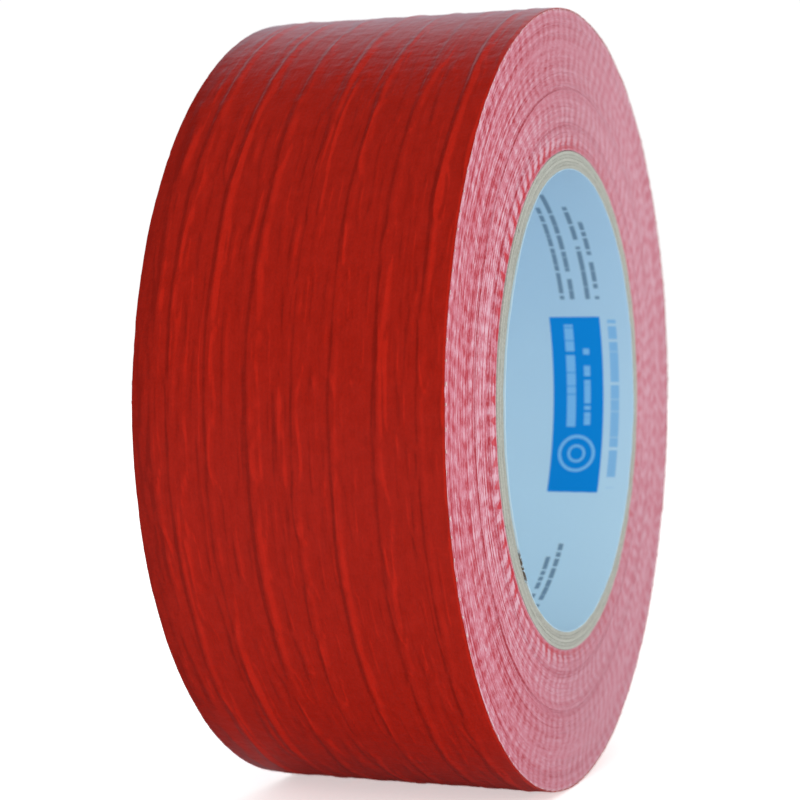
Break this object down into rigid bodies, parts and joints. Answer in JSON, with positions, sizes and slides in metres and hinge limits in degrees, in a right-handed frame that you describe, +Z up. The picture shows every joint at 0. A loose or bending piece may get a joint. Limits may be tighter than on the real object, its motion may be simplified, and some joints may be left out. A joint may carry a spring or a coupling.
{
  "type": "duct tape roll",
  "caption": "Wide roll of cloth-backed adhesive tape wound on a paper core tube, with a free end that peels up and bends back from its outermost turn.",
  "frame": {"origin": "centre of the roll: on the core's axis, halfway across the tape's width", "axes": "+Y along the roll's axis, from the near side face to the far one; +Z up with the roll standing on its rim; the free end lies on the +X side and points down"},
  "size_m": [0.128, 0.0486, 0.1279],
  "materials": {
    "red_film": "satin",
    "gauze_cloth": "matte",
    "rubber_adhesive": "satin",
    "wound_tape": "matte",
    "grey_chipboard": "matte",
    "liner_paper": "satin"
  },
  "bodies": {
    "roll": {"core_liner": "liner_paper", "core_ply_1": "grey_chipboard", "core_ply_2": "grey_chipboard", "core_ply_3": "grey_chipboard", "core_ply_4": "grey_chipboard", "core_ply_5": "grey_chipboard", "wound_turns": "wound_tape", "outer_turn_adhesive": "rubber_adhesive", "outer_turn_cloth": "gauze_cloth", "outer_turn_film": "red_film"},
    "tail_1": {"tail_1_adhesive": "rubber_adhesive", "tail_1_cloth": "gauze_cloth", "tail_1_film": "red_film"},
    "tail_2": {"tail_2_adhesive": "rubber_adhesive", "tail_2_cloth": "gauze_cloth", "tail_2_film": "red_film"},
    "tail_3": {"tail_3_adhesive": "rubber_adhesive", "tail_3_cloth": "gauze_cloth", "tail_3_film": "red_film"},
    "tail_4": {"tail_4_adhesive": "rubber_adhesive", "tail_4_cloth": "gauze_cloth", "tail_4_film": "red_film"}
  },
  "joints": [
    {"name": "tail_peel", "type": "hinge", "parent": "roll", "child": "tail_1", "pos_m": [0.06162, 0, 0.01762], "axis": [0, -1, 0], "range_deg": [0, 45]},
    {"name": "tail_bend_1", "type": "hinge", "parent": "tail_1", "child": "tail_2", "pos_m": [0.06362, 0, 0.00778], "axis": [0, -1, 0], "range_deg": [0, 45]},
    {"name": "tail_bend_2", "type": "hinge", "parent": "tail_2", "child": "tail_3", "pos_m": [0.06406, 0, -0.00226], "axis": [0, -1, 0], "range_deg": [0, 45]},
    {"name": "tail_bend_3", "type": "hinge", "parent": "tail_3", "child": "tail_4", "pos_m": [0.06292, 0, -0.01224], "axis": [0, -1, 0], "range_deg": [0, 45]}
  ]
}
